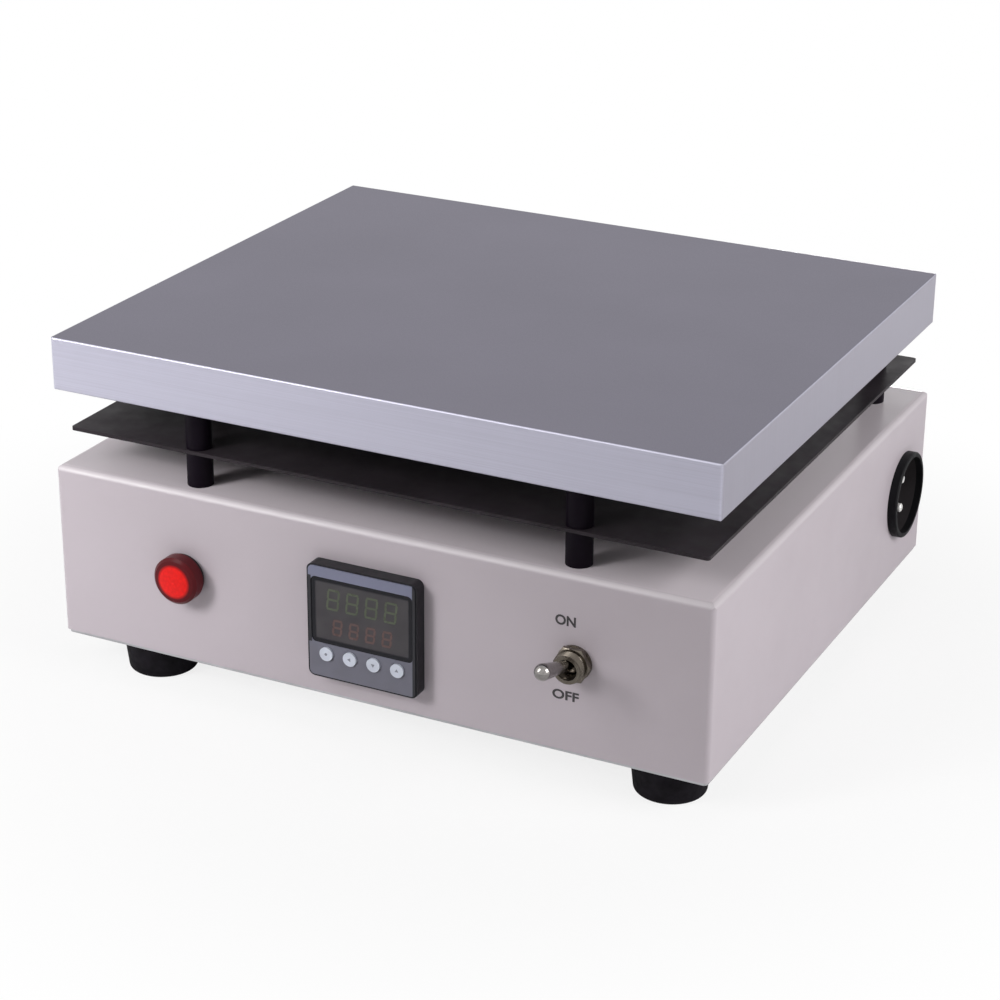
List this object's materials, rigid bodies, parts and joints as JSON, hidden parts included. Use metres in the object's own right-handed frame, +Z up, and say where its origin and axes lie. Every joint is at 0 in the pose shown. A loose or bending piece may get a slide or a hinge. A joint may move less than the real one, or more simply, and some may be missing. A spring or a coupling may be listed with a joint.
{
  "type": "hot plate",
  "caption": "Bench hot plate: a thick bare aluminium plate on posts over a heat shield and a painted casing, with a digital temperature controller, pilot lamp and toggle switch.",
  "frame": {"origin": "on the floor, under the middle of the whole object's box", "axes": "+X to the right seen from the front, +Y towards the back, +Z up"},
  "size_m": [0.3038, 0.2896, 0.1495],
  "materials": {
    "plate_aluminium": "milled and brushed, bare",
    "element_sheath": "heat-darkened sheath",
    "plain_steel": "zinc plated, satin",
    "bright_steel": "nickel plated, bright satin",
    "chrome": "polished",
    "inlet_contacts": "nickel plated",
    "brass": "satin",
    "black_silicone": "matt",
    "shield_black": "matt black",
    "post_black": "satin black",
    "casing_paint": "satin pale grey",
    "foot_rubber": "matt",
    "ceramic": "unglazed",
    "black_plastic": "fine moulded texture",
    "inlet_black": "matt black moulding",
    "lens_red": "clear red, glossy",
    "face_grey": "printed film, satin",
    "window_dark": "dark filter, glossy",
    "board_green": "lacquered",
    "display_dark": "matt",
    "key_pale": "satin",
    "relay_shell": "moulded",
    "lead_cover": "silicone cover"
  },
  "bodies": {
    "base": {"top_plate": "plate_aluminium", "heating_element": "element_sheath", "heater_cover": "plain_steel", "cover_screws": "bright_steel", "sensor_probe": "bright_steel", "sensor_gland": "brass", "sensor_lead": "bright_steel", "sensor_grommet": "black_silicone", "heat_shield": "shield_black", "lower_post_front_left": "post_black", "lower_post_front_right": "post_black", "lower_post_rear_left": "post_black", "lower_post_rear_right": "post_black", "upper_post_front_left": "post_black", "upper_post_front_right": "post_black", "upper_post_rear_left": "post_black", "upper_post_rear_right": "post_black", "support_studs": "plain_steel", "stud_washers": "bright_steel", "stud_nuts": "bright_steel", "casing": "casing_paint", "base_plate": "plain_steel", "base_screws": "bright_steel", "foot_front_left": "foot_rubber", "foot_front_right": "foot_rubber", "foot_rear_left": "foot_rubber", "foot_rear_right": "foot_rubber", "foot_screws": "bright_steel", "foot_nuts": "bright_steel", "lead_bushes": "ceramic", "pilot_body": "black_plastic", "pilot_lens": "lens_red", "pilot_nut": "black_plastic", "pilot_tabs": "brass", "controller_bezel": "black_plastic", "controller_overlay": "face_grey", "controller_window": "window_dark", "controller_case": "black_plastic", "controller_collar": "black_plastic", "controller_board": "board_green", "controller_display": "display_dark", "toggle_bushing": "bright_steel", "toggle_body": "black_plastic", "toggle_nut": "bright_steel", "toggle_washer": "bright_steel", "toggle_back_nut": "plain_steel", "toggle_pin": "plain_steel", "toggle_terminals": "brass", "inlet_body": "inlet_black", "inlet_pins": "inlet_contacts", "inlet_nut": "inlet_black", "terminal_block": "ceramic", "relay": "relay_shell", "power_leads": "lead_cover", "earth_stud": "brass"},
    "switch_lever": {"toggle_lever": "chrome"},
    "key_1_cap": {"key_1": "key_pale"},
    "key_2_cap": {"key_2": "key_pale"},
    "key_3_cap": {"key_3": "key_pale"},
    "key_4_cap": {"key_4": "key_pale"}
  },
  "joints": [
    {"name": "switch_tilt", "type": "hinge", "parent": "base", "child": "switch_lever", "pos_m": [0.0905, -0.1142, 0.056], "axis": [1, 0, 0], "range_deg": [0, 36]},
    {"name": "key_1_press", "type": "slide", "parent": "base", "child": "key_1_cap", "axis": [0, 1, 0], "range_m": [0, 0.0006], "stiffness_N_per_m": 300},
    {"name": "key_2_press", "type": "slide", "parent": "base", "child": "key_2_cap", "axis": [0, 1, 0], "range_m": [0, 0.0006], "stiffness_N_per_m": 300},
    {"name": "key_3_press", "type": "slide", "parent": "base", "child": "key_3_cap", "axis": [0, 1, 0], "range_m": [0, 0.0006], "stiffness_N_per_m": 300},
    {"name": "key_4_press", "type": "slide", "parent": "base", "child": "key_4_cap", "axis": [0, 1, 0], "range_m": [0, 0.0006], "stiffness_N_per_m": 300}
  ]
}
